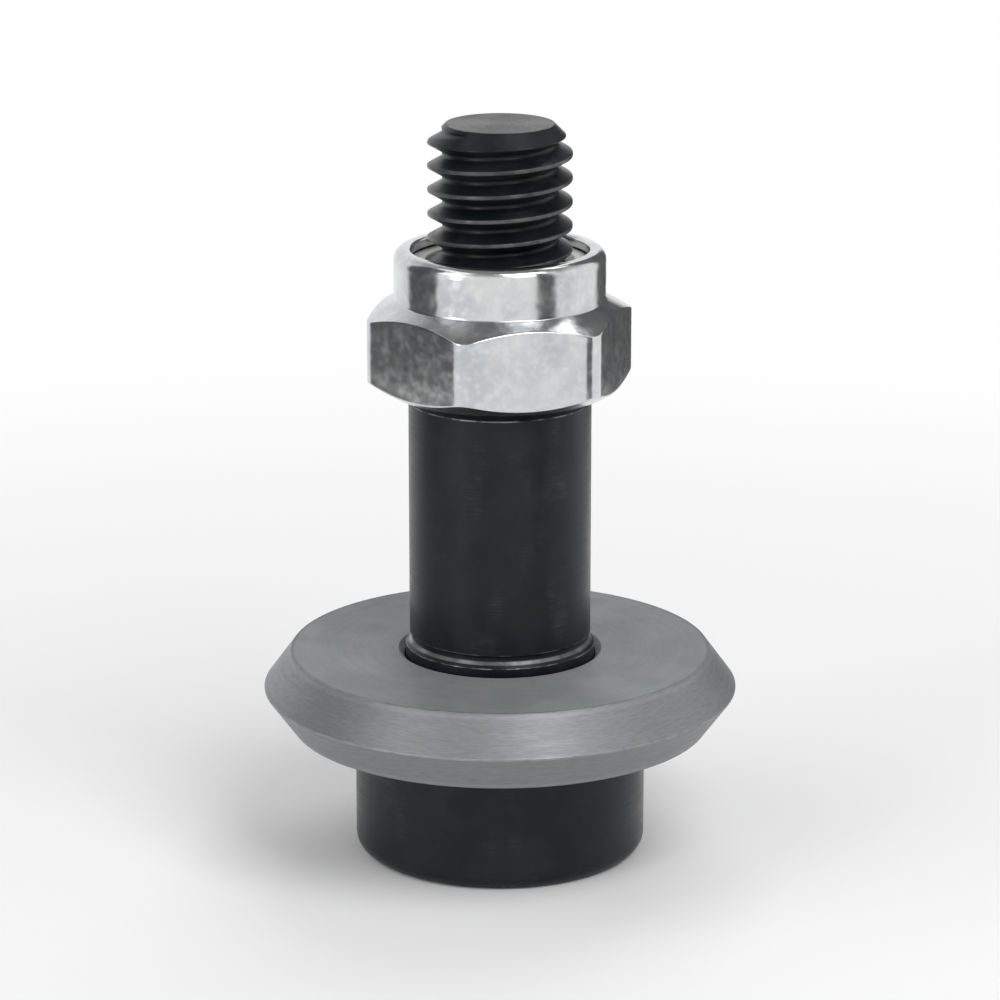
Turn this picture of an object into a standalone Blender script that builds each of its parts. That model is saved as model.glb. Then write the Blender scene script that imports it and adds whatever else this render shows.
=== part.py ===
"""A tile cutter's carbide wheel on its axle screw, with the lock nut that holds the screw.

A standalone Blender 4.5 script, in metres with +Z up. The screw stands on its head: the origin
is the centre of the head's end face, and every piece is centred on the Z axis.
"""

import math

import bmesh
import bpy
import numpy as np

MM = 0.001

# Head of the screw, with a hexagon socket in its end face
HEAD_DIAMETER = 12.3 * MM
HEAD_HEIGHT = 5.5 * MM
HEAD_END_ROUND = 0.6 * MM
HEAD_RIM_CHAMFER = 0.35 * MM
SOCKET_ACROSS_FLATS = 4.0 * MM
SOCKET_DEPTH = 2.9 * MM
SOCKET_MOUTH_MARGIN = 0.15 * MM
SOCKET_PILOT_INSET = 0.1 * MM
SOCKET_POINT_HALF_ANGLE = math.radians(59)

# Shoulder of the screw: the wheel's seat next to the head, then a fine groove and a slimmer stretch
SEAT_DIAMETER = 8.0 * MM
SEAT_SPARE = 0.55 * MM
SEAT_FILLET = 0.15 * MM
SEAT_STEP = 0.175 * MM
GROOVE_DEPTH = 0.1 * MM
GROOVE_WIDTH = 0.14 * MM
SHOULDER_LENGTH = 14.5 * MM
SHOULDER_CHAMFER = 0.4 * MM

# Thread, right-handed, with depths as shares of the pitch from the metric thread standard
THREAD_DIAMETER = 6.0 * MM
THREAD_PITCH = 1.0 * MM
THREAD_LENGTH = 11.25 * MM
THREAD_HALF_ANGLE = math.radians(30)
THREAD_CREST_SHARE = 0.125
SCREW_DEPTH_SHARE = 0.6134
NUT_DEPTH_SHARE = 0.5413
RELIEF_DEPTH = 0.7 * MM
RELIEF_LENGTH = 0.7 * MM
RELIEF_FILLET = 0.2 * MM
TIP_CHAMFER = 0.75 * MM

# Wheel
WHEEL_DIAMETER = 20.0 * MM
WHEEL_THICKNESS = 3.2 * MM
RIM_BEVEL_WIDTH = 1.15 * MM
RIM_LAND = 0.1 * MM
BORE_CHAMFER = 0.25 * MM

# Lock nut: a hexagon with a round collar, whose lip is crimped over the nylon ring
NUT_ACROSS_FLATS = 10.0 * MM
NUT_HEIGHT = 6.0 * MM
NUT_HEX_HEIGHT = 3.9 * MM
NUT_THREAD_HEIGHT = 3.7 * MM
NUT_CORNER_TRIM = 0.2 * MM
NUT_BEARING_INSET = 0.4 * MM
NUT_COUNTERSINK = 0.15 * MM
NUT_CHAMFER_ANGLE = math.radians(30)
NUT_TURN = math.radians(14)
NYLON_WALL = 0.85 * MM
NYLON_EDGE = 0.15 * MM
COLLAR_WALL = 0.5 * MM
COLLAR_ROUND = 0.4 * MM
LIP_THICKNESS = 0.45 * MM
LIP_OVERLAP = 0.2 * MM

# Clearances between neighbours
BORE_CLEARANCE = 0.05 * MM
SEAT_GAP = 0.05 * MM
THREAD_CLEARANCE = 0.04 * MM

# Mesh resolution
FACETS = 56
WHEEL_FACETS = 96
ARC_STEPS = 4
WELD = 0.001 * MM
CUTTER_MARGIN = 1.0 * MM

# Radii and heights that several pieces share
SEAT_RADIUS = SEAT_DIAMETER / 2
THREAD_RADIUS = THREAD_DIAMETER / 2
FLAT_RADIUS = NUT_ACROSS_FLATS / 2
RECESS_RADIUS = THREAD_RADIUS + NYLON_WALL + SEAT_GAP
COLLAR_RADIUS = RECESS_RADIUS + COLLAR_WALL
LIP_BOTTOM = NUT_HEIGHT - LIP_THICKNESS
SHOULDER_END = HEAD_HEIGHT + SHOULDER_LENGTH
SCREW_END = SHOULDER_END + THREAD_LENGTH
WHEEL_BOTTOM = HEAD_HEIGHT + SEAT_GAP
NUT_BOTTOM = SHOULDER_END + SEAT_GAP
NYLON_BOTTOM = NUT_BOTTOM + NUT_THREAD_HEIGHT + SEAT_GAP
NYLON_THICKNESS = LIP_BOTTOM - NUT_THREAD_HEIGHT - 2 * SEAT_GAP


def clear_scene():
    for obj in list(bpy.data.objects):
        bpy.data.objects.remove(obj, do_unlink=True)


def new_material(name, colour, roughness, metallic):
    material = bpy.data.materials.new(name)
    material.use_nodes = True
    shader = material.node_tree.nodes["Principled BSDF"]
    shader.inputs["Base Color"].default_value = (*colour, 1.0)
    shader.inputs["Roughness"].default_value = roughness
    shader.inputs["Metallic"].default_value = metallic
    material.diffuse_color = (*colour, 1.0)
    return material


def new_object(name, bm, height=0.0, material=None):
    """Sews a mesh up and makes it an object whose origin is on the axis at this height."""
    bmesh.ops.remove_doubles(bm, verts=bm.verts, dist=WELD)
    bmesh.ops.recalc_face_normals(bm, faces=bm.faces)
    mesh = bpy.data.meshes.new(name)
    bm.to_mesh(mesh)
    bm.free()
    mesh.shade_smooth()
    mesh.set_sharp_from_angle(angle=math.radians(25))
    obj = bpy.data.objects.new(name, mesh)
    obj.location.z = height
    bpy.context.scene.collection.objects.link(obj)
    if material:
        mesh.materials.append(material)
    return obj


def new_cutter(name, bm, height=0.0):
    cutter = new_object(name, bm, height)
    cutter.hide_render = True
    cutter.display_type = "WIRE"
    return cutter


def add_boolean(obj, cutter, operation):
    modifier = obj.modifiers.new(cutter.name, "BOOLEAN")
    modifier.operation = operation
    modifier.solver = "EXACT"
    modifier.object = cutter


def arc(radius, height, size, start, end):
    """Points of a round corner about (radius, height), from one angle in degrees to another."""
    angles = np.linspace(math.radians(start), math.radians(end), ARC_STEPS + 1)
    return [(radius + size * math.cos(angle), height + size * math.sin(angle)) for angle in angles]


def lathe(bm, outline, facets=FACETS):
    """Spins an outline of (radius, height) points about the Z axis."""
    points = [bm.verts.new((radius, 0.0, height)) for radius, height in outline]
    edges = [bm.edges.new(pair) for pair in zip(points, points[1:])]
    bmesh.ops.spin(
        bm,
        geom=points + edges,
        cent=(0.0, 0.0, 0.0),
        axis=(0.0, 0.0, 1.0),
        angle=math.tau,
        steps=facets,
        use_merge=True,
    )
    bmesh.ops.remove_doubles(bm, verts=bm.verts, dist=WELD)


def hexagon_prism(bm, across_flats, bottom, top, turn=0.0):
    """A closed hexagon prism with a corner at this angle from +X."""
    corner = across_flats / 2 / math.cos(math.pi / 6)
    angles = [turn + math.tau * side / 6 for side in range(6)]
    corners = [bm.verts.new((corner * math.cos(a), corner * math.sin(a), bottom)) for a in angles]
    extruded = bmesh.ops.extrude_face_region(bm, geom=[bm.faces.new(corners)])["geom"]
    raised = [item for item in extruded if isinstance(item, bmesh.types.BMVert)]
    bmesh.ops.translate(bm, verts=raised, vec=(0.0, 0.0, top - bottom))


def ridge_section(depth, spread):
    """One thread ridge in section, as (offset from its middle, radius) from its lower foot to its upper foot.

    spread moves the flanks and the crest outwards, away from the screw's own.
    """
    crest_radius = THREAD_RADIUS + spread
    foot_radius = THREAD_RADIUS - depth

    def half_width(radius):
        flank = (THREAD_RADIUS - radius) * math.tan(THREAD_HALF_ANGLE)
        return THREAD_PITCH * THREAD_CREST_SHARE / 2 + flank + spread

    crest = half_width(crest_radius)
    foot = half_width(foot_radius)
    return [(-foot, foot_radius), (-crest, crest_radius), (crest, crest_radius), (foot, foot_radius)]


def thread_wall(bm, section, bottom, top, trim, origin=0.0):
    """The helical wall of a thread between two heights, open at both ends.

    Each column of points goes up the wall at one angle, and its points lie on the edges of one
    ridge after another, so that the edges stay sharp. Points past an end are drawn back to it.
    trim(radius, height) cuts the ridges back, as a chamfer or a countersink does. origin is the
    height of the piece's own origin, so that the screw, the nut and the ring share one helix.
    """
    offsets, radii = zip(*section)
    start = SHOULDER_END - origin
    snap = THREAD_PITCH / FACETS / 2

    def point(fraction, height):
        ridges = (height - start) / THREAD_PITCH - fraction
        radius = float(np.interp((ridges - round(ridges)) * THREAD_PITCH, offsets, radii))
        radius = trim(radius, height)
        angle = math.tau * fraction
        return radius * math.cos(angle), radius * math.sin(angle), height

    first = math.floor((bottom - start) / THREAD_PITCH) - 2
    last = math.ceil((top - start) / THREAD_PITCH) + 1
    columns = []
    for fraction in np.arange(FACETS) / FACETS:
        column = []
        for ridge in range(first, last + 1):
            for offset in offsets:
                height = start + (ridge + fraction) * THREAD_PITCH + offset
                if height < bottom + snap:
                    height = bottom
                if height > top - snap:
                    height = top
                column.append(bm.verts.new(point(fraction, height)))
        columns.append(column)
    # One turn on, each edge has climbed to the next ridge
    neighbours = columns[1:] + [columns[0][len(offsets):]]
    for column, neighbour in zip(columns, neighbours):
        for low in range(len(neighbour) - 1):
            bm.faces.new((column[low], neighbour[low], neighbour[low + 1], column[low + 1]))
    bmesh.ops.remove_doubles(bm, verts=[vert for column in columns for vert in column], dist=WELD)


def rim_edges(bm, *heights):
    """Edges of the open rims at these heights."""
    return [
        edge
        for edge in bm.edges
        if edge.is_boundary
        and any(all(abs(vert.co.z - height) < WELD for vert in edge.verts) for height in heights)
    ]


def make_axle_screw(material):
    head = HEAD_DIAMETER / 2
    seat_end = WHEEL_BOTTOM + WHEEL_THICKNESS + SEAT_SPARE
    shoulder = SEAT_RADIUS - SEAT_STEP
    groove = shoulder - GROOVE_DEPTH
    relief = THREAD_RADIUS - RELIEF_DEPTH
    relief_corner = SHOULDER_END + RELIEF_FILLET
    thread_start = SHOULDER_END + RELIEF_LENGTH
    tip = THREAD_RADIUS - TIP_CHAMFER
    bm = bmesh.new()
    lathe(bm, [
        (0.0, 0.0),
        *arc(head - HEAD_END_ROUND, HEAD_END_ROUND, HEAD_END_ROUND, -90, 0),
        (head, HEAD_HEIGHT - HEAD_RIM_CHAMFER),
        (head - HEAD_RIM_CHAMFER, HEAD_HEIGHT),
        *arc(SEAT_RADIUS + SEAT_FILLET, HEAD_HEIGHT + SEAT_FILLET, SEAT_FILLET, 270, 180),
        (SEAT_RADIUS, seat_end - SEAT_STEP - GROOVE_DEPTH),
        (groove, seat_end),
        (groove, seat_end + GROOVE_WIDTH),
        (shoulder, seat_end + GROOVE_WIDTH + GROOVE_DEPTH),
        (shoulder, SHOULDER_END - SHOULDER_CHAMFER),
        (shoulder - SHOULDER_CHAMFER, SHOULDER_END),
        *arc(relief + RELIEF_FILLET, relief_corner, RELIEF_FILLET, 270, 180),
    ])

    def trim(radius, height):
        return min(radius, relief + height - thread_start, tip + SCREW_END - height)

    section = ridge_section(THREAD_PITCH * SCREW_DEPTH_SHARE, 0.0)
    thread_wall(bm, section, thread_start, SCREW_END, trim)
    bmesh.ops.bridge_loops(bm, edges=rim_edges(bm, relief_corner, thread_start))
    bmesh.ops.edgeloop_fill(bm, edges=rim_edges(bm, SCREW_END))
    screw = new_object("axle_screw", bm, material=material)
    add_boolean(screw, make_socket_drill(), "DIFFERENCE")
    add_boolean(screw, make_socket_broach(), "DIFFERENCE")
    return screw


def make_socket_drill():
    """The pilot hole with its pointed end, and the countersink at the socket's mouth."""
    pilot = SOCKET_ACROSS_FLATS / 2 - SOCKET_PILOT_INSET
    mouth = SOCKET_ACROSS_FLATS / 2 / math.cos(math.pi / 6) + SOCKET_MOUTH_MARGIN
    point_depth = pilot / math.tan(SOCKET_POINT_HALF_ANGLE)
    bm = bmesh.new()
    lathe(bm, [
        (0.0, SOCKET_DEPTH + point_depth),
        (pilot, SOCKET_DEPTH),
        (pilot, mouth - pilot),
        (mouth + CUTTER_MARGIN, -CUTTER_MARGIN),
        (0.0, -CUTTER_MARGIN),
    ])
    return new_cutter("socket_drill", bm)


def make_socket_broach():
    bm = bmesh.new()
    hexagon_prism(bm, SOCKET_ACROSS_FLATS, -CUTTER_MARGIN, SOCKET_DEPTH)
    return new_cutter("socket_broach", bm)


def make_cutting_wheel(material):
    rim = WHEEL_DIAMETER / 2
    bore = SEAT_RADIUS + BORE_CLEARANCE
    half = WHEEL_THICKNESS / 2
    upper = [
        (rim, RIM_LAND / 2),
        (rim - RIM_BEVEL_WIDTH, half),
        (bore + BORE_CHAMFER, half),
        (bore, half - BORE_CHAMFER),
    ]
    lower = [(radius, -height) for radius, height in reversed(upper)]
    bm = bmesh.new()
    lathe(bm, [*upper, *lower, upper[0]], WHEEL_FACETS)
    return new_object("cutting_wheel", bm, WHEEL_BOTTOM + half, material)


def make_lock_nut(material):
    corner = FLAT_RADIUS / math.cos(math.pi / 6) - NUT_CORNER_TRIM
    bearing = FLAT_RADIUS - NUT_BEARING_INSET
    countersink = THREAD_RADIUS + NUT_COUNTERSINK
    slope = math.tan(NUT_CHAMFER_ANGLE)
    lip = RECESS_RADIUS - LIP_OVERLAP
    bm = bmesh.new()
    lathe(bm, [
        (bearing, 0.0),
        (corner, (corner - bearing) * slope),
        (corner, NUT_HEX_HEIGHT - (corner - COLLAR_RADIUS) * slope),
        (COLLAR_RADIUS, NUT_HEX_HEIGHT),
        *arc(COLLAR_RADIUS - COLLAR_ROUND, NUT_HEIGHT - COLLAR_ROUND, COLLAR_ROUND, 0, 90),
        (lip, NUT_HEIGHT),
        (lip, LIP_BOTTOM),
        (RECESS_RADIUS, LIP_BOTTOM),
        (RECESS_RADIUS, NUT_THREAD_HEIGHT),
    ])

    def trim(radius, height):
        nearest_end = min(height, NUT_THREAD_HEIGHT - height)
        return max(radius, countersink - nearest_end)

    section = ridge_section(THREAD_PITCH * NUT_DEPTH_SHARE, THREAD_CLEARANCE)
    thread_wall(bm, section, 0.0, NUT_THREAD_HEIGHT, trim, NUT_BOTTOM)
    for height in (0.0, NUT_THREAD_HEIGHT):
        bmesh.ops.bridge_loops(bm, edges=rim_edges(bm, height))
    nut = new_object("lock_nut", bm, NUT_BOTTOM, material)

    stock = bmesh.new()
    hexagon_prism(stock, NUT_ACROSS_FLATS, -CUTTER_MARGIN, NUT_HEIGHT + CUTTER_MARGIN, NUT_TURN)
    add_boolean(nut, new_cutter("nut_hexagon", stock, NUT_BOTTOM), "INTERSECT")
    return nut


def make_nylon_ring(material):
    """The locking ring, with the thread that the screw has pressed into it."""
    outside = RECESS_RADIUS - SEAT_GAP
    bm = bmesh.new()
    lathe(bm, [
        (outside - NYLON_EDGE, 0.0),
        (outside, NYLON_EDGE),
        (outside, NYLON_THICKNESS - NYLON_EDGE),
        (outside - NYLON_EDGE, NYLON_THICKNESS),
    ])
    section = ridge_section(THREAD_PITCH * NUT_DEPTH_SHARE, THREAD_CLEARANCE)
    thread_wall(bm, section, 0.0, NYLON_THICKNESS, lambda radius, height: radius, NYLON_BOTTOM)
    for height in (0.0, NYLON_THICKNESS):
        bmesh.ops.bridge_loops(bm, edges=rim_edges(bm, height))
    return new_object("nylon_ring", bm, NYLON_BOTTOM, material)


def main():
    clear_scene()
    black_oxide = new_material("black_oxide_steel", (0.022, 0.023, 0.026), 0.42, 0.6)
    carbide = new_material("tungsten_carbide", (0.2, 0.21, 0.215), 0.45, 0.7)
    zinc = new_material("zinc_plate", (0.62, 0.64, 0.66), 0.25, 1.0)
    nylon = new_material("nylon", (0.5, 0.52, 0.5), 0.4, 0.0)
    screw = make_axle_screw(black_oxide)
    wheel = make_cutting_wheel(carbide)
    nut = make_lock_nut(zinc)
    ring = make_nylon_ring(nylon)
    bpy.context.view_layer.update()
    for child, parent in ((wheel, screw), (nut, screw), (ring, nut)):
        child.parent = parent
        child.matrix_parent_inverse = parent.matrix_world.inverted()


main()
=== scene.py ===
import cmath
import math

import bmesh
import bpy
import numpy as np
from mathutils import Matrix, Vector


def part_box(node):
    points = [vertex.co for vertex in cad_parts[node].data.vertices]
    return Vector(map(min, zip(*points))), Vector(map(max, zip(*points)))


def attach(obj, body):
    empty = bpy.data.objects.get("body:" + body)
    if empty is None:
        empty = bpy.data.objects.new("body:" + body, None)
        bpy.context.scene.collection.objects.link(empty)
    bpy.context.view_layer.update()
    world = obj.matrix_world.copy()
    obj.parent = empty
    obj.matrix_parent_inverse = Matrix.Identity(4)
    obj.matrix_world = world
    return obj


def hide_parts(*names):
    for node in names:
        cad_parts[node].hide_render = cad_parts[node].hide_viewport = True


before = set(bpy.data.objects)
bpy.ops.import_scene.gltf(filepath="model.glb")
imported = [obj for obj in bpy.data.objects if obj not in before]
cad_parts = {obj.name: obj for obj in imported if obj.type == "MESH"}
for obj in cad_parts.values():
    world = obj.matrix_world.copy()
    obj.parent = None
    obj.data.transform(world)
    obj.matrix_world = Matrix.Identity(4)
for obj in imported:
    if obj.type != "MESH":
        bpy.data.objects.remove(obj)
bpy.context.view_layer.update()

MM = 0.001

# What the frame gives: the boxes of the four solids
screw_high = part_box("axle_screw")[1]
wheel_low, wheel_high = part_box("cutting_wheel")
nut_low, nut_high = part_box("lock_nut")
ring_low, ring_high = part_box("nylon_ring")
HEAD_RADIUS = screw_high.x
SCREW_END = screw_high.z
WHEEL_RADIUS = wheel_high.x
WHEEL_MIDDLE = (wheel_low.z + wheel_high.z) / 2
WHEEL_HALF = (wheel_high.z - wheel_low.z) / 2
NUT_BOTTOM = nut_low.z
NUT_HEIGHT = nut_high.z - nut_low.z
RING_RADIUS = ring_high.x

# Head of the screw and its socket
HEAD_HEIGHT = 5.5 * MM
HEAD_END_ROUND = 0.6 * MM
HEAD_RIM_CHAMFER = 0.35 * MM
SOCKET_APOTHEM = 2.0 * MM
SOCKET_DEPTH = 2.9 * MM
SOCKET_MOUTH = 2.46 * MM
SOCKET_PILOT = 1.9 * MM
SOCKET_POINT_DEPTH = 1.14 * MM
SOCKET_CORNER = 0.06 * MM
SOCKET_EDGE_ROUND = 0.02 * MM
SOCKET_MOUTH_ROUND = 0.04 * MM
HEAD_RIM_ROUND = 0.08 * MM
HEAD_TOP_ROUND = 0.06 * MM

# Shoulder of the screw
SEAT_RADIUS = 4.0 * MM
SEAT_FILLET = 0.15 * MM
SEAT_END = 9.3 * MM
SHOULDER_RADIUS = 3.825 * MM
GROOVE_RADIUS = 3.725 * MM
GROOVE_WIDTH = 0.14 * MM
SHOULDER_END = 20.0 * MM
SHOULDER_CHAMFER = 0.4 * MM
SEAT_EDGE_ROUND = 0.04 * MM
GROOVE_ROUND = 0.03 * MM
SHOULDER_EDGE_ROUND = 0.06 * MM
SHOULDER_END_ROUND = 0.05 * MM

# Thread, right-handed, on the same helix as the solids
THREAD_RADIUS = 3.0 * MM
THREAD_PITCH = 1.0 * MM
THREAD_START = 20.7 * MM
THREAD_HALF_ANGLE = math.radians(30)
THREAD_CREST_SHARE = 0.125
SCREW_DEPTH_SHARE = 0.6134
NUT_DEPTH_SHARE = 0.5413
THREAD_CLEARANCE = 0.04 * MM
CREST_ROUND = 0.05 * MM
ROOT_ROUND = 0.13 * MM
RELIEF_RADIUS = 2.3 * MM
RELIEF_FILLET = 0.2 * MM
TIP_RADIUS = 2.25 * MM
TIP_EDGE = 0.08 * MM
TIP_ROUND = 0.06 * MM

# Wheel
FACE_RADIUS = 8.85 * MM
RIM_LAND = 0.06 * MM
BORE_RADIUS = 4.05 * MM
BORE_CHAMFER = 0.25 * MM
CUTTING_EDGE_ROUND = 0.02 * MM
WHEEL_EDGE_ROUND = 0.05 * MM

# Lock nut
NUT_APOTHEM = 5.0 * MM
NUT_CORNER = 0.9 * MM
NUT_TURN = math.radians(14)
NUT_BEARING = 4.6 * MM
NUT_SLOPE = math.tan(math.radians(30))
NUT_HEX_HEIGHT = 3.9 * MM
NUT_THREAD_HEIGHT = 3.7 * MM
NUT_COUNTERSINK = 3.15 * MM
COLLAR_RADIUS = 4.4 * MM
COLLAR_ROUND = 0.45 * MM
RECESS_RADIUS = 3.9 * MM
LIP_RADIUS = 3.7 * MM
LIP_THICKNESS = 0.45 * MM
BEARING_ROUND = 0.04 * MM
HEXAGON_ROUND = 0.08 * MM
COLLAR_FOOT_ROUND = 0.12 * MM
LIP_ROUND = 0.12 * MM
LIP_BOTTOM_ROUND = 0.05 * MM

# Nylon ring
NYLON_MOUTH = 3.12 * MM
NYLON_EDGE = 0.15 * MM
NYLON_ROUND = 0.05 * MM

# How worn the edges are, from 0 to 1
SOCKET_EDGE_WEAR = 0.4
SOCKET_MOUTH_WEAR = 0.6
HEAD_RIM_WEAR = 0.8
SHOULDER_WEAR = 0.7
TIP_WEAR = 0.5
CUTTING_EDGE_WEAR = 1.0
FACE_EDGE_WEAR = 0.6
BORE_EDGE_WEAR = 0.4
BEARING_WEAR = 0.3
HEXAGON_WEAR = 0.6
LIP_WEAR = 0.3

# Mesh resolution
FACETS = 144
WHEEL_FACETS = 240
ARC_STEPS = 5
THREAD_ARC_STEPS = 3
FLANK_STEP = 0.1 * MM
SHARP_ANGLE = math.radians(38)
WELD = 0.0002 * MM

# How far the points that support a rounding stand off it, and how much of a flat they may take
SUPPORT = 0.03 * MM
SUPPORT_SHARE = 0.4


def rounded(corners, steps=ARC_STEPS, support=SUPPORT):
    """Points (x, y, wear) along corners (x, y, rounding, wear).

    In an outline, x is the distance from the axis and y the height. A rounded corner becomes an arc
    with a support point on each side, which keeps the shading of the flats beside it flat. The two
    ends stay where they are.
    """
    places = [complex(x, y) for x, y, _, _ in corners]
    legs = [after - before for before, after in zip(places, places[1:])]
    turns = [cmath.phase(after / before) for before, after in zip(legs, legs[1:])]
    reaches = [corner[2] * math.tan(abs(turn) / 2) for corner, turn in zip(corners[1:-1], turns)]
    reaches = [0.0, *reaches, 0.0]
    spare = [(abs(leg) - sum(pair)) * SUPPORT_SHARE for leg, pair in zip(legs, zip(reaches, reaches[1:]))]
    points = [(places[0].real, places[0].imag, corners[0][3])]

    def add(place, wear):
        points.append((place.real, place.imag, wear))

    for index, turn in enumerate(turns, start=1):
        place = places[index]
        rounding, wear = corners[index][2:]
        along = legs[index - 1] / abs(legs[index - 1])
        onward = legs[index] / abs(legs[index])
        start = place - along * reaches[index]
        end = place + onward * reaches[index]
        if support:
            add(start - along * min(support, spare[index - 1]), 0.0)
        if rounding:
            spoke = -1j * along * math.copysign(rounding, turn)
            for step in range(steps + 1):
                add(start - spoke + spoke * cmath.exp(1j * turn * step / steps), wear)
        else:
            add(place, wear)
        if support:
            add(end + onward * min(support, spare[index]), 0.0)
    add(places[-1], corners[-1][3])
    return points


def column_angles(facets=FACETS, turn=0.0):
    return [turn + math.tau * index / facets for index in range(facets)]


def new_mesh():
    bm = bmesh.new()
    bm.verts.layers.float.new("wear")
    return bm


def add_column(bm, angle, points):
    wear_layer = bm.verts.layers.float["wear"]
    column = []
    for radius, height, wear in points:
        vert = bm.verts.new((radius * math.cos(angle), radius * math.sin(angle), height))
        vert[wear_layer] = wear
        column.append(vert)
    return column


def join_columns(bm, columns, last):
    for column, neighbour in zip(columns, [*columns[1:], last]):
        for low in range(len(neighbour) - 1):
            bm.faces.new((column[low], neighbour[low], neighbour[low + 1], column[low + 1]))


def sweep(bm, outline_at, angles):
    """Carries an outline round the Z axis. outline_at(angle) gives it at one angle."""
    columns = [add_column(bm, angle, outline_at(angle)) for angle in angles]
    join_columns(bm, columns, columns[0])


def thread_section(depth, spread):
    """One thread ridge, from the middle of one root to the next, as (offset, radius)."""
    crest_radius = THREAD_RADIUS + spread
    root_radius = THREAD_RADIUS - depth

    def half_width(radius):
        flank = (THREAD_RADIUS - radius) * math.tan(THREAD_HALF_ANGLE)
        return THREAD_PITCH * THREAD_CREST_SHARE / 2 + flank + spread

    crest = half_width(crest_radius)
    foot = half_width(root_radius)
    root_turn = math.pi / 2 - THREAD_HALF_ANGLE
    root_round = min(ROOT_ROUND, (THREAD_PITCH / 2 - foot) / math.tan(root_turn / 2))
    corners = [
        (-THREAD_PITCH / 2, root_radius, 0.0, 0.0),
        (-foot, root_radius, root_round, 0.0),
        (-crest, crest_radius, CREST_ROUND, 0.0),
        (crest, crest_radius, CREST_ROUND, 0.0),
        (foot, root_radius, root_round, 0.0),
        (THREAD_PITCH / 2, root_radius, 0.0, 0.0),
    ]
    outline = np.array(rounded(corners, THREAD_ARC_STEPS, support=0.0))[:, :2]
    lengths = np.hypot(*np.diff(outline, axis=0).T)
    points = [outline[0]]
    for before, after, length in zip(outline, outline[1:], lengths):
        pieces = max(1, math.ceil(length / FLANK_STEP))
        points += [before + (after - before) * piece / pieces for piece in range(1, pieces + 1)]
    return np.array(points)


def add_thread(bm, section, bottom, top, trim, angles):
    """The helical wall of a thread between two heights, whose ends trim() makes round.

    Each column of points goes up the wall at one angle. Points past an end are drawn back to it.
    """
    offsets, radii = section.T
    snap = THREAD_PITCH / FACETS / 2
    first = math.floor((bottom - SHOULDER_END) / THREAD_PITCH) - 2
    last = math.ceil((top - SHOULDER_END) / THREAD_PITCH) + 1
    columns = []
    for angle in angles:
        fraction = angle / math.tau
        points = []
        for ridge in range(first, last + 1):
            middle = SHOULDER_END + (ridge + fraction) * THREAD_PITCH
            for offset in offsets[:-1]:
                height = middle + offset
                if height < bottom + snap:
                    height = bottom
                if height > top - snap:
                    height = top
                away = (height - middle + THREAD_PITCH / 2) % THREAD_PITCH - THREAD_PITCH / 2
                radius = trim(float(np.interp(away, offsets, radii)), height)
                points.append((radius, height, 0.0))
        columns.append(add_column(bm, angle, points))
    # One turn on, each point has climbed to the next ridge
    join_columns(bm, columns, columns[0][len(offsets) - 1:])


def hexagon(angle, apothem, rounding):
    """Distance from the axis to a hexagon that has a rounded corner at angle 0."""
    sixth = math.pi / 3
    off = abs((angle + sixth / 2) % sixth - sixth / 2)
    centre = (apothem - rounding) / math.cos(sixth / 2)
    tangent = math.atan2(rounding * math.sin(sixth / 2), centre + rounding * math.cos(sixth / 2))
    if off < tangent:
        return centre * math.cos(off) + math.sqrt(rounding**2 - (centre * math.sin(off)) ** 2)
    return apothem / math.cos(sixth / 2 - off)


def new_piece(name, bm, material, body, node):
    """Closes a mesh up and makes it the piece that stands for a node."""
    bmesh.ops.remove_doubles(bm, verts=bm.verts, dist=WELD)
    bmesh.ops.dissolve_degenerate(bm, edges=bm.edges, dist=WELD)
    bmesh.ops.recalc_face_normals(bm, faces=bm.faces)
    mesh = bpy.data.meshes.new(name)
    bm.to_mesh(mesh)
    bm.free()
    mesh.shade_smooth()
    mesh.set_sharp_from_angle(angle=SHARP_ANGLE)
    mesh.materials.append(material)
    piece = bpy.data.objects.new(name, mesh)
    bpy.context.scene.collection.objects.link(piece)
    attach(piece, body)
    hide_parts(node)


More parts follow.
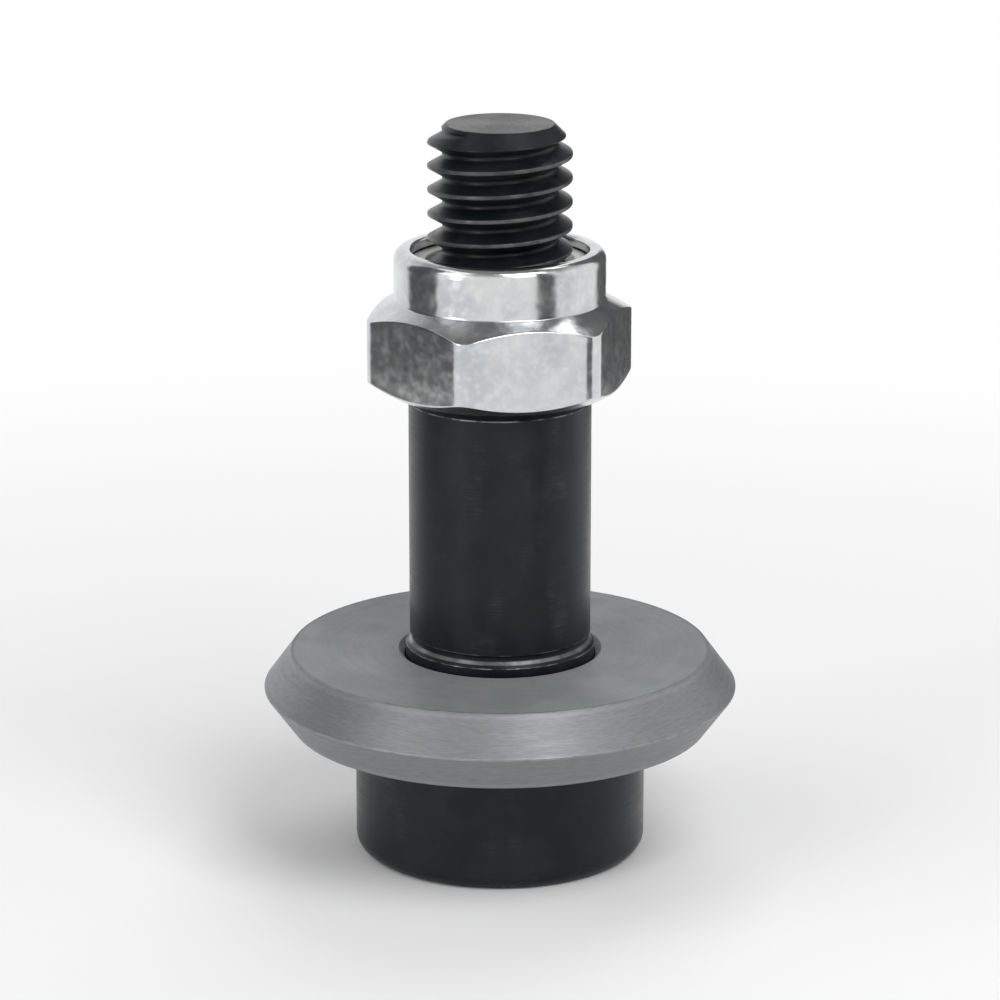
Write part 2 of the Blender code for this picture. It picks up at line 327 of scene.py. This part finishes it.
def make_screw(material):
    shoulder_chamfer = SHOULDER_RADIUS - SHOULDER_CHAMFER
    seat_step = SEAT_RADIUS - GROOVE_RADIUS
    groove_top = SEAT_END + GROOVE_WIDTH
    tip_height = SCREW_END - TIP_EDGE

    def lower(angle):
        socket = hexagon(angle, SOCKET_APOTHEM, SOCKET_CORNER)
        return rounded([
            (0.0, SOCKET_DEPTH + SOCKET_POINT_DEPTH, 0.0, 0.0),
            (SOCKET_PILOT, SOCKET_DEPTH, 0.0, 0.0),
            (socket, SOCKET_DEPTH, 0.0, 0.0),
            (socket, SOCKET_MOUTH - socket, SOCKET_EDGE_ROUND, SOCKET_EDGE_WEAR),
            (SOCKET_MOUTH, 0.0, SOCKET_MOUTH_ROUND, SOCKET_MOUTH_WEAR),
            (HEAD_RADIUS, 0.0, HEAD_END_ROUND, 0.0),
            (HEAD_RADIUS, HEAD_HEIGHT - HEAD_RIM_CHAMFER, HEAD_RIM_ROUND, HEAD_RIM_WEAR),
            (HEAD_RADIUS - HEAD_RIM_CHAMFER, HEAD_HEIGHT, HEAD_TOP_ROUND, HEAD_RIM_WEAR),
            (SEAT_RADIUS, HEAD_HEIGHT, SEAT_FILLET, 0.0),
            (SEAT_RADIUS, SEAT_END - seat_step, SEAT_EDGE_ROUND, SHOULDER_WEAR),
            (GROOVE_RADIUS, SEAT_END, GROOVE_ROUND, 0.0),
            (GROOVE_RADIUS, groove_top, GROOVE_ROUND, 0.0),
            (SHOULDER_RADIUS, groove_top + SHOULDER_RADIUS - GROOVE_RADIUS, GROOVE_ROUND, SHOULDER_WEAR),
            (SHOULDER_RADIUS, SHOULDER_END - SHOULDER_CHAMFER, SHOULDER_EDGE_ROUND, SHOULDER_WEAR),
            (shoulder_chamfer, SHOULDER_END, SHOULDER_END_ROUND, SHOULDER_WEAR),
            (RELIEF_RADIUS, SHOULDER_END, RELIEF_FILLET, 0.0),
            (RELIEF_RADIUS, THREAD_START, 0.0, 0.0),
        ])

    def tip(angle):
        return rounded([
            (TIP_RADIUS + TIP_EDGE, tip_height, 0.0, 0.0),
            (TIP_RADIUS, SCREW_END, TIP_ROUND, TIP_WEAR),
            (0.0, SCREW_END, 0.0, 0.0),
        ])

    def trim(radius, height):
        return min(radius, RELIEF_RADIUS + height - THREAD_START, TIP_RADIUS + SCREW_END - height)

    angles = column_angles()
    bm = new_mesh()
    sweep(bm, lower, angles)
    section = thread_section(THREAD_PITCH * SCREW_DEPTH_SHARE, 0.0)
    add_thread(bm, section, THREAD_START, tip_height, trim, angles)
    sweep(bm, tip, angles)
    new_piece("shoulder_screw", bm, material, "screw", "axle_screw")


def make_wheel(material):
    inner = BORE_RADIUS + BORE_CHAMFER
    upper = [
        (WHEEL_RADIUS, RIM_LAND / 2, CUTTING_EDGE_ROUND, CUTTING_EDGE_WEAR),
        (FACE_RADIUS, WHEEL_HALF, WHEEL_EDGE_ROUND, FACE_EDGE_WEAR),
        (inner, WHEEL_HALF, WHEEL_EDGE_ROUND, BORE_EDGE_WEAR),
        (BORE_RADIUS, WHEEL_HALF - BORE_CHAMFER, WHEEL_EDGE_ROUND, BORE_EDGE_WEAR),
    ]
    lower = [(radius, -height, rounding, wear) for radius, height, rounding, wear in reversed(upper)]
    seam = (BORE_RADIUS, 0.0, 0.0, 0.0)
    outline = [
        (radius, WHEEL_MIDDLE + height, wear)
        for radius, height, wear in rounded([seam, *lower, *upper, seam])
    ]
    bm = new_mesh()
    sweep(bm, lambda angle: outline, column_angles(WHEEL_FACETS))
    new_piece("carbide_wheel", bm, material, "wheel", "cutting_wheel")


def make_nut(material):
    thread_top = NUT_BOTTOM + NUT_THREAD_HEIGHT
    hex_top = NUT_BOTTOM + NUT_HEX_HEIGHT
    nut_top = NUT_BOTTOM + NUT_HEIGHT
    lip_bottom = nut_top - LIP_THICKNESS

    def outside(angle):
        flat = hexagon(angle - NUT_TURN, NUT_APOTHEM, NUT_CORNER)
        return rounded([
            (NUT_COUNTERSINK, NUT_BOTTOM, 0.0, 0.0),
            (NUT_BEARING, NUT_BOTTOM, BEARING_ROUND, BEARING_WEAR),
            (flat, NUT_BOTTOM + (flat - NUT_BEARING) * NUT_SLOPE, HEXAGON_ROUND, HEXAGON_WEAR),
            (flat, hex_top - (flat - COLLAR_RADIUS) * NUT_SLOPE, HEXAGON_ROUND, HEXAGON_WEAR),
            (COLLAR_RADIUS, hex_top, COLLAR_FOOT_ROUND, 0.0),
            (COLLAR_RADIUS, nut_top, COLLAR_ROUND, 0.0),
            (LIP_RADIUS, nut_top, LIP_ROUND, LIP_WEAR),
            (LIP_RADIUS, lip_bottom, LIP_BOTTOM_ROUND, 0.0),
            (RECESS_RADIUS, lip_bottom, 0.0, 0.0),
            (RECESS_RADIUS, thread_top, 0.0, 0.0),
            (NUT_COUNTERSINK, thread_top, 0.0, 0.0),
        ])

    def trim(radius, height):
        return max(radius, NUT_COUNTERSINK - min(height - NUT_BOTTOM, thread_top - height))

    angles = column_angles(turn=NUT_TURN)
    bm = new_mesh()
    sweep(bm, outside, angles)
    section = thread_section(THREAD_PITCH * NUT_DEPTH_SHARE, THREAD_CLEARANCE)
    add_thread(bm, section, NUT_BOTTOM, thread_top, trim, angles)
    new_piece("nut_body", bm, material, "screw", "lock_nut")


def make_ring(material):
    bottom, top = ring_low.z, ring_high.z
    outline = rounded([
        (NYLON_MOUTH, bottom, 0.0, 0.0),
        (RING_RADIUS - NYLON_EDGE, bottom, NYLON_ROUND, 0.0),
        (RING_RADIUS, bottom + NYLON_EDGE, NYLON_ROUND, 0.0),
        (RING_RADIUS, top - NYLON_EDGE, NYLON_ROUND, 0.0),
        (RING_RADIUS - NYLON_EDGE, top, NYLON_ROUND, 0.0),
        (NYLON_MOUTH, top, 0.0, 0.0),
    ])

    def trim(radius, height):
        return max(radius, NYLON_MOUTH - min(height - bottom, top - height))

    angles = column_angles()
    bm = new_mesh()
    sweep(bm, lambda angle: outline, angles)
    section = thread_section(THREAD_PITCH * NUT_DEPTH_SHARE, THREAD_CLEARANCE)
    add_thread(bm, section, bottom, top, trim, angles)
    new_piece("locking_ring", bm, material, "screw", "nylon_ring")


# Most of what a noise texture gives lies in the first range, and the second gives more contrast
NOISE_RANGE = (0.3, 0.7)
STRONG_RANGE = (0.35, 0.65)

# As a share of a full turn, this stretches highlights across the marks that run round the axis
ACROSS_MARKS = 0.25


class Nodes:
    """Short ways to add nodes to a node tree."""

    def __init__(self, tree):
        self.tree = tree

    def node(self, kind, inputs=None, **settings):
        node = self.tree.nodes.new(kind)
        for name, value in settings.items():
            setattr(node, name, value)
        for socket, value in (inputs or {}).items():
            if isinstance(value, bpy.types.NodeSocket):
                self.tree.links.new(value, node.inputs[socket])
            else:
                node.inputs[socket].default_value = value
        return node

    def math(self, operation, first, second):
        return self.node("ShaderNodeMath", {0: first, 1: second}, operation=operation).outputs[0]

    def product(self, first, second):
        return self.math("MULTIPLY", first, second)

    def higher(self, first, second):
        return self.math("MAXIMUM", first, second)

    def vector(self, operation, first, second=(0.0, 0.0, 0.0)):
        return self.node("ShaderNodeVectorMath", {0: first, 1: second}, operation=operation).outputs[0]

    def scaled(self, vector, factor):
        return self.vector("MULTIPLY", vector, (factor, factor, factor))

    def join(self, x, y, z):
        return self.node("ShaderNodeCombineXYZ", {0: x, 1: y, 2: z}).outputs[0]

    def between(self, value, low, high, start=0.0, end=1.0):
        """A smooth step from start to end as value goes from low to high."""
        inputs = {"Value": value, "From Min": low, "From Max": high, "To Min": start, "To Max": end}
        return self.node("ShaderNodeMapRange", inputs, interpolation_type="SMOOTHSTEP").outputs[0]

    def band(self, value, low, high, edge):
        """1 where value lies between low and high, with soft edges."""
        above = self.between(value, low - edge, low + edge)
        below = self.between(value, high - edge, high + edge, 1.0, 0.0)
        return self.product(above, below)

    def mix(self, share, first, second):
        """A colour between two, each an (r, g, b) or a socket.

        The node's inputs 6 and 7 and its output 2 are the ones for colours.
        """
        ends = [end if isinstance(end, bpy.types.NodeSocket) else (*end, 1.0) for end in (first, second)]
        inputs = {0: share, 6: ends[0], 7: ends[1]}
        return self.node("ShaderNodeMix", inputs, data_type="RGBA").outputs[2]

    def shown_rays(self):
        """1 on rays that see the background itself: the camera's, and those off metal or through glass."""
        path = self.node("ShaderNodeLightPath").outputs
        seen_in_object = self.higher(path["Is Glossy Ray"], path["Is Transmission Ray"])
        return self.higher(path["Is Camera Ray"], seen_in_object)


class Finish(Nodes):
    """A new material, whose coordinates are in mm."""

    def __init__(self, name, **constants):
        self.material = bpy.data.materials.new(name)
        self.material.use_nodes = True
        super().__init__(self.material.node_tree)
        self.surface = self.tree.nodes["Principled BSDF"]
        for socket, value in constants.items():
            self.surface.inputs[socket.replace("_", " ")].default_value = value
        self.place = self.scaled(self.node("ShaderNodeTexCoord").outputs["Object"], 1 / MM)
        self.x, self.y, self.z = self.node("ShaderNodeSeparateXYZ", {"Vector": self.place}).outputs
        flat = self.join(self.x, self.y, 0.0)
        self.radius = self.node("ShaderNodeVectorMath", {0: flat}, operation="LENGTH").outputs["Value"]

    def noise(self, scale, detail=2.0, stretch=(1.0, 1.0, 1.0)):
        place = self.vector("MULTIPLY", self.place, stretch)
        inputs = {"Vector": place, "Scale": scale, "Detail": detail}
        return self.node("ShaderNodeTexNoise", inputs).outputs["Fac"]

    def patches(self, scale, detail, start=0.0, end=1.0):
        """Soft patches that go from start to end."""
        return self.between(self.noise(scale, detail), *NOISE_RANGE, start, end)

    def turned(self, scale, around, detail=2.0):
        """Noise that is fine along a turned outline and drawn out round the axis."""
        spin = self.scaled(self.vector("NORMALIZE", self.join(self.x, self.y, 0.0)), around)
        place = self.vector("ADD", spin, self.join(0.0, 0.0, self.z))
        inputs = {"Vector": place, "W": self.radius, "Scale": scale, "Detail": detail}
        return self.node("ShaderNodeTexNoise", inputs, noise_dimensions="4D").outputs["Fac"]

    def worn_edges(self, low, high):
        """1 on the edges that the mesh marks as worn, broken up by noise, and 0 elsewhere."""
        edge = self.node("ShaderNodeAttribute", attribute_name="wear").outputs["Fac"]
        return self.between(self.product(edge, self.patches(scale=1.6, detail=4.0, start=0.35)), low, high)

    def bump(self, height, depth, normal=None):
        """Relief of this depth in mm, on top of another relief if one is given."""
        inputs = {"Height": height, "Distance": depth * MM}
        if normal:
            inputs["Normal"] = normal
        return self.node("ShaderNodeBump", inputs).outputs["Normal"]

    def set(self, **sockets):
        for socket, value in sockets.items():
            self.tree.links.new(value, self.surface.inputs[socket.replace("_", " ")])
        return self.material


# In the finishes below colours are linear, and a pair holds the darkest and the lightest of a surface.
# Strengths go from 0 to 1, places and depths of relief are in mm, and the scales of noise are per mm.

# Black oxide
OXIDE = ((0.0036, 0.0050, 0.0072), (0.0090, 0.0108, 0.0135))
OXIDE_RUBBED = (0.08, 0.08, 0.085)
RUB_STRETCH = (1.0, 1.0, 0.5)
RUB_STRENGTH = 0.3
CLOUD_SHEEN = 0.3
BARE_STEEL_AND_HIGHLIGHT = (0.30, 0.30, 0.305)
BARE_METALLIC = 0.85
BARE_AND_HIGHLIGHT_STRENGTH = 0.8

# The bright line under the screw's groove, partly bare steel and partly a painted highlight, and the wear
# of its thread's crests
HIGHLIGHT_LINE_START = 0.15
HIGHLIGHT_LINE_END = 0.03
HIGHLIGHT_LINE_BLUR = 0.02
CREST_WORN_FROM = 0.05
CREST_WORN_FULLY = 0.015
CREST_FADE = 0.2
CREST_STRENGTH = 0.45


def black_oxide():
    """Satin black, with turning marks, faint rubs, worn thread crests and a line at the groove that is
    partly bare steel and partly a painted highlight.
    """
    finish = Finish(
        "black_oxide_steel",
        Specular_IOR_Level=0.25,
        Anisotropic=0.4,
        Anisotropic_Rotation=ACROSS_MARKS,
    )
    groove = SEAT_END / MM
    thread_start = THREAD_START / MM
    crest = THREAD_RADIUS / MM
    marks = finish.turned(scale=16.0, around=0.25, detail=3.0)
    clouds = finish.patches(scale=0.6, detail=5.0)
    rubs = finish.between(finish.noise(scale=0.8, detail=6.0, stretch=RUB_STRETCH), low=0.5, high=0.78)
    rubs = finish.product(rubs, finish.between(marks, *STRONG_RANGE))
    # Painted highlight: a light band of bare-steel colour just under the groove, where the step catches
    # the light
    line = finish.band(finish.z, groove - HIGHLIGHT_LINE_START, groove - HIGHLIGHT_LINE_END, HIGHLIGHT_LINE_BLUR)
    crests = finish.between(finish.radius, crest - CREST_WORN_FROM, crest - CREST_WORN_FULLY)
    crests = finish.product(crests, finish.between(finish.z, thread_start, thread_start + CREST_FADE))
    crests = finish.product(crests, CREST_STRENGTH)
    crest_wear_and_painted_line = finish.higher(line, crests)
    crest_wear_and_painted_line = finish.product(crest_wear_and_painted_line, finish.patches(scale=1.1, detail=4.0, start=0.25))
    # The wear mask also carries the groove's painted highlight, partly bare steel
    wear = finish.higher(finish.worn_edges(low=0.25, high=0.8), crest_wear_and_painted_line)
    colour = finish.mix(clouds, *OXIDE)
    colour = finish.mix(finish.product(rubs, RUB_STRENGTH), colour, OXIDE_RUBBED)
    colour = finish.mix(finish.product(wear, BARE_AND_HIGHLIGHT_STRENGTH), colour, BARE_STEEL_AND_HIGHLIGHT)
    sheen = finish.math("ADD", marks, finish.product(clouds, CLOUD_SHEEN))
    grit = finish.noise(scale=30.0, detail=3.0)
    return finish.set(
        Normal=finish.bump(grit, depth=0.0007, normal=finish.bump(marks, depth=0.0010)),
        Base_Color=colour,
        Metallic=finish.product(wear, BARE_METALLIC),
        Roughness=finish.between(sheen, low=0.3, high=1.0, start=0.28, end=0.42),
    )


# Tungsten carbide, sintered on its faces and ground on its bevels
CARBIDE_FACE = ((0.184, 0.194, 0.200), (0.224, 0.235, 0.241))
CARBIDE_GRAIN = (0.274, 0.283, 0.287)
GRAIN_STRENGTH = 0.35
CARBIDE_PORE_AND_SHADE = (0.09, 0.095, 0.10)
PORE_AND_SHADE_STRENGTH = 0.5
CARBIDE_GROUND = ((0.198, 0.205, 0.213), (0.253, 0.261, 0.270))
# Light colour of worn edges, also used for the bevel's painted glint
CARBIDE_EDGE_AND_GLINT = (0.39, 0.40, 0.41)
EDGE_STRENGTH = 0.6
FACE_METALLIC = 0.3
GROUND_METALLIC = 0.6
GROUND_POLISH = 0.14

# Where the face ends: its dark line of painted shade, the step to the ground bevel and the bevel's painted
# glint
SHADE_LINE_INSIDE = 0.10
SHADE_LINE_OUTSIDE = 0.005
SHADE_LINE_BLUR = 0.045
GROUND_STEP = 0.05
GLINT_START = 0.05
GLINT_END = 0.16
GLINT_BLUR = 0.04
GLINT_STRENGTH = 0.35


def carbide():
    """Matte sintered face, with a dark line of painted shade at its rim, and finely ground bevels with a
    painted glint next to the face.
    """
    finish = Finish("tungsten_carbide", Anisotropic=0.3, Anisotropic_Rotation=ACROSS_MARKS)
    rim = FACE_RADIUS / MM
    ground = finish.between(finish.radius, rim, rim + GROUND_STEP)
    marks = finish.turned(scale=26.0, around=0.8, detail=3.0)
    grain = finish.noise(scale=24.0, detail=4.0)
    pores = finish.between(finish.noise(scale=7.0, detail=3.0), low=0.64, high=0.72)
    # Painted shade: a dark band round the rim of the face
    line = finish.band(finish.radius, rim - SHADE_LINE_INSIDE, rim + SHADE_LINE_OUTSIDE, SHADE_LINE_BLUR)
    face = finish.mix(finish.patches(scale=0.5, detail=5.0), *CARBIDE_FACE)
    face = finish.mix(finish.between(grain, *STRONG_RANGE, end=GRAIN_STRENGTH), face, CARBIDE_GRAIN)
    # The pores' dark colour also paints the shade line at the rim
    face = finish.mix(finish.product(finish.higher(line, pores), PORE_AND_SHADE_STRENGTH), face, CARBIDE_PORE_AND_SHADE)
    bevel = finish.mix(finish.between(marks, *NOISE_RANGE), *CARBIDE_GROUND)
    # Painted highlight: a light band on the bevel next to the face
    glint = finish.band(finish.radius, rim + GLINT_START, rim + GLINT_END, GLINT_BLUR)
    glint = finish.product(glint, GLINT_STRENGTH)
    # The wear mask also carries the painted glint, so worn edges and the glint share one colour
    wear = finish.higher(finish.worn_edges(low=0.3, high=0.8), glint)
    colour = finish.mix(ground, face, bevel)
    colour = finish.mix(finish.product(wear, EDGE_STRENGTH), colour, CARBIDE_EDGE_AND_GLINT)
    rings = finish.between(finish.turned(scale=6.0, around=0.4), *NOISE_RANGE, start=0.60, end=0.68)
    return finish.set(
        Normal=finish.bump(grain, depth=0.002, normal=finish.bump(marks, depth=0.0010)),
        Base_Color=colour,
        Metallic=finish.between(ground, 0.0, 1.0, FACE_METALLIC, GROUND_METALLIC),
        Roughness=finish.math("SUBTRACT", rings, finish.product(ground, GROUND_POLISH)),
    )


# Zinc plate
ZINC = ((0.50, 0.515, 0.54), (0.66, 0.67, 0.67))
ZINC_SPECKLE = (0.76, 0.77, 0.77)
SPECKLE_STRENGTH = 0.3
ZINC_EDGE = (0.82, 0.83, 0.84)
ZINC_EDGE_STRENGTH = 0.6


def zinc():
    """Bright plate with a soft mottle."""
    finish = Finish("zinc_plate", Metallic=1.0)
    pebble = finish.noise(scale=2.4, detail=3.0)
    colour = finish.mix(finish.patches(scale=0.6, detail=4.0), *ZINC)
    speckle = finish.between(pebble, low=0.45, high=0.7, end=SPECKLE_STRENGTH)
    colour = finish.mix(speckle, colour, ZINC_SPECKLE)
    worn = finish.product(finish.worn_edges(low=0.3, high=0.8), ZINC_EDGE_STRENGTH)
    colour = finish.mix(worn, colour, ZINC_EDGE)
    dents = finish.bump(finish.noise(scale=0.9), depth=0.02)
    return finish.set(
        Normal=finish.bump(pebble, depth=0.0012, normal=dents),
        Base_Color=colour,
        Roughness=finish.between(pebble, *NOISE_RANGE, start=0.15, end=0.21),
    )


# Nylon
NYLON = ((0.56, 0.58, 0.54), (0.66, 0.68, 0.63))
NYLON_GLOW_DEPTH = 0.4 * MM


def nylon():
    """Natural nylon, slightly translucent, with faint moulding marks."""
    finish = Finish("natural_nylon", Subsurface_Weight=0.35, Subsurface_Scale=NYLON_GLOW_DEPTH)
    marks = finish.turned(scale=12.0, around=0.6)
    return finish.set(
        Base_Color=finish.mix(finish.patches(scale=1.2, detail=3.0), *NYLON),
        Roughness=finish.between(marks, *NOISE_RANGE, start=0.36, end=0.5),
        Normal=finish.bump(marks, depth=0.004),
    )


# The floor, whose fade is given as radii in mm, as its material counts
WHITE = (1.0, 1.0, 1.0, 1.0)
FLOOR_COLOUR = (0.90, 0.90, 0.90, 1.0)
FLOOR_RADIUS = 3.0
FLOOR_SEGMENTS = 64
FLOOR_FADE = (20.0, 95.0)

# The world: its strength as a light, its grey overhead, and the range of heights where it turns grey
WORLD_DIFFUSE = 0.6
CEILING = 0.25
CEILING_RISE = (0.35, 0.95)

# The camera, with its lens and sensor in mm as cameras give them
LENS = 150.0
SENSOR = 36.0
VIEW_ELEVATION = math.radians(16)
FRAME_HEIGHT = 42 * MM
AIM = Vector((0.0, 0.0, 15.2 * MM))
VIEW_START_SHARE = 1 / 20
VIEW_REACH = 10.0

# Each lamp's name, azimuth and elevation in degrees, distance, width and height in metres, power in watts
LAMPS = (
    ("key", 38, 50, 0.25, 0.16, 0.16, 0.36),
    ("strip", -48, 12, 0.22, 0.035, 0.20, 0.10),
    ("fill", -75, 45, 0.28, 0.20, 0.20, 0.14),
    ("back", 165, 50, 0.28, 0.20, 0.14, 0.20),
)

# Each dark card's name, azimuth in degrees and width
CARDS = (
    ("card_left", -92, 60 * MM),
    ("card_right", 50, 28 * MM),
    ("card_behind", 145, 50 * MM),
)
CARD_HEIGHT = 120 * MM
CARD_DISTANCE = 75 * MM
CARD_COLOUR = (0.09, 0.09, 0.09, 1.0)


def add_stage(name, bm, material):
    """Makes a mesh an object that isn't part of the product."""
    mesh = bpy.data.meshes.new(name)
    bm.to_mesh(mesh)
    bm.free()
    mesh.materials.append(material)
    obj = bpy.data.objects.new(name, mesh)
    bpy.context.scene.collection.objects.link(obj)
    return obj


def make_floor():
    """A pale floor that keeps the object's shadow and fades into the white background."""
    finish = Finish("pale_floor", Base_Color=FLOOR_COLOUR, Roughness=0.7, Specular_IOR_Level=0.2)
    glow = finish.node("ShaderNodeEmission", {"Color": WHITE, "Strength": 1.0})
    share = finish.product(finish.between(finish.radius, *FLOOR_FADE), finish.shown_rays())
    inputs = {0: share, 1: finish.surface.outputs[0], 2: glow.outputs[0]}
    blend = finish.node("ShaderNodeMixShader", inputs)
    finish.tree.links.new(blend.outputs[0], finish.tree.nodes["Material Output"].inputs["Surface"])
    bm = bmesh.new()
    bmesh.ops.create_circle(bm, cap_ends=True, segments=FLOOR_SEGMENTS, radius=FLOOR_RADIUS)
    add_stage("floor", bm, finish.material)


def make_world():
    """White towards the horizon and greyer overhead, and dimmer as a light than as a background."""
    world = bpy.data.worlds.new("studio")
    world.use_nodes = True
    nodes = Nodes(world.node_tree)
    place = nodes.node("ShaderNodeTexCoord").outputs["Generated"]
    height = nodes.node("ShaderNodeSeparateXYZ", {0: place}).outputs[2]
    grey = nodes.between(height, *CEILING_RISE, start=1.0, end=CEILING)
    strength = nodes.between(nodes.shown_rays(), low=0.0, high=1.0, start=WORLD_DIFFUSE)
    background = nodes.tree.nodes["Background"]
    nodes.tree.links.new(grey, background.inputs["Color"])
    nodes.tree.links.new(strength, background.inputs["Strength"])
    bpy.context.scene.world = world


def direction(azimuth, elevation=0.0):
    """The way out from the object: to the camera's side at azimuth 0, and then round to the right."""
    return Vector((
        math.sin(azimuth) * math.cos(elevation),
        -math.cos(azimuth) * math.cos(elevation),
        math.sin(elevation),
    ))


def place_facing(obj, aim, towards, distance):
    """Puts an object at a distance from its aim, looking back at it."""
    obj.location = aim + towards * distance
    obj.rotation_euler = (-towards).to_track_quat("-Z", "Y").to_euler()


def make_lamps():
    for name, azimuth, elevation, distance, width, height, power in LAMPS:
        light = bpy.data.lights.new(name, "AREA")
        light.shape = "RECTANGLE"
        light.size = width
        light.size_y = height
        light.energy = power
        lamp = bpy.data.objects.new(name, light)
        bpy.context.scene.collection.objects.link(lamp)
        place_facing(lamp, AIM, direction(math.radians(azimuth), math.radians(elevation)), distance)


def make_cards():
    """Dark cards round the object, seen only in reflections, which give bright metal its contrast."""
    material = Finish("dark_card", Base_Color=CARD_COLOUR, Roughness=0.9).material
    for name, azimuth, width in CARDS:
        bm = bmesh.new()
        bmesh.ops.create_grid(bm, x_segments=1, y_segments=1, size=0.5)
        bmesh.ops.scale(bm, vec=(width, CARD_HEIGHT, 1.0), verts=bm.verts)
        card = add_stage(name, bm, material)
        middle = Vector((0.0, 0.0, CARD_HEIGHT / 2))
        place_facing(card, middle, direction(math.radians(azimuth)), CARD_DISTANCE)
        card.visible_camera = False
        card.visible_diffuse = False
        card.visible_shadow = False
        card.visible_transmission = False


def make_camera():
    data = bpy.data.cameras.new("camera")
    data.lens = LENS
    data.sensor_width = SENSOR
    distance = FRAME_HEIGHT / 2 / (SENSOR / 2 / LENS)
    data.clip_start = distance * VIEW_START_SHARE
    data.clip_end = VIEW_REACH
    camera = bpy.data.objects.new("camera", data)
    bpy.context.scene.collection.objects.link(camera)
    place_facing(camera, AIM, direction(0.0, VIEW_ELEVATION), distance)
    bpy.context.scene.camera = camera


make_screw(black_oxide())
make_wheel(carbide())
make_nut(zinc())
make_ring(nylon())
make_floor()
make_world()
make_lamps()
make_cards()
make_camera()
bpy.context.scene.view_settings.view_transform = "Standard"
